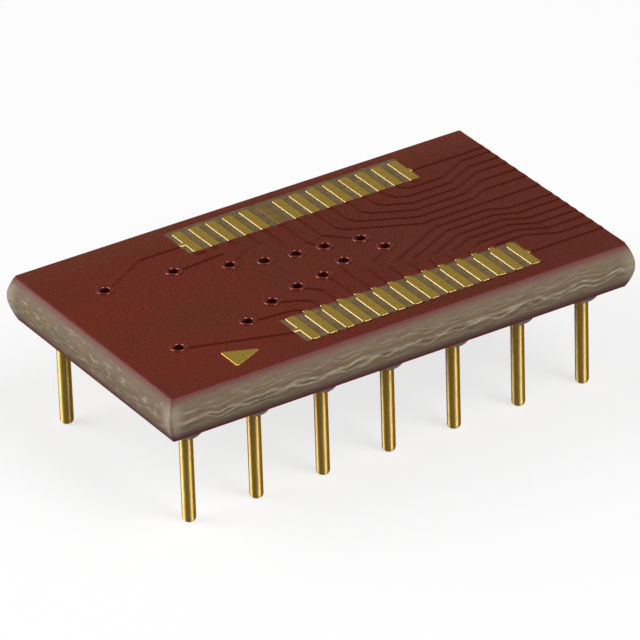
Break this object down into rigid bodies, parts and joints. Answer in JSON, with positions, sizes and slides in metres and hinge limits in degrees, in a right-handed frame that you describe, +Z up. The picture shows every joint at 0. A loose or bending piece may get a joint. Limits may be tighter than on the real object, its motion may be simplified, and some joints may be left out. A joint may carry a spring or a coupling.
{
  "type": "ic socket adapter",
  "caption": "Small red circuit board with fine-pitch chip lands on its top face and two rows of round gold pins underneath, to plug a surface-mount chip into a dual in-line socket.",
  "frame": {"origin": "under the middle of the board, on the plane of the pin tips", "axes": "+X along the board, from the end beside pin 1 to the end where the panel went on; +Y from the front row of pins (1 to 7) to the rear row (8 to 14); +Z up from the pin tips to the chip lands"},
  "size_m": [0.0178, 0.0102, 0.0054],
  "materials": {
    "laminate": "glass-fibre epoxy laminate, rough where it was snapped",
    "solder_mask": "deep red semi-gloss solder mask",
    "gold_plate": "thin gold plate over copper, satin",
    "copper": "plated copper foil",
    "pin_gold": "gold plated turned pin, bright",
    "solder": "shiny grey solder"
  },
  "bodies": {
    "root": {"board_core": "laminate", "top_solder_mask": "solder_mask", "bottom_solder_mask": "solder_mask", "front_lands": "gold_plate", "rear_lands": "gold_plate", "pin_one_mark": "gold_plate", "front_traces": "copper", "rear_traces": "copper", "bottom_traces": "copper", "via_barrels": "copper", "pin_pads": "copper", "pin_01": "pin_gold", "pin_02": "pin_gold", "pin_03": "pin_gold", "pin_04": "pin_gold", "pin_05": "pin_gold", "pin_06": "pin_gold", "pin_07": "pin_gold", "pin_08": "pin_gold", "pin_09": "pin_gold", "pin_10": "pin_gold", "pin_11": "pin_gold", "pin_12": "pin_gold", "pin_13": "pin_gold", "pin_14": "pin_gold", "solder_joint_01": "solder", "solder_joint_02": "solder", "solder_joint_03": "solder", "solder_joint_04": "solder", "solder_joint_05": "solder", "solder_joint_06": "solder", "solder_joint_07": "solder", "solder_joint_08": "solder", "solder_joint_09": "solder", "solder_joint_10": "solder", "solder_joint_11": "solder", "solder_joint_12": "solder", "solder_joint_13": "solder", "solder_joint_14": "solder"}
  },
  "joints": []
}
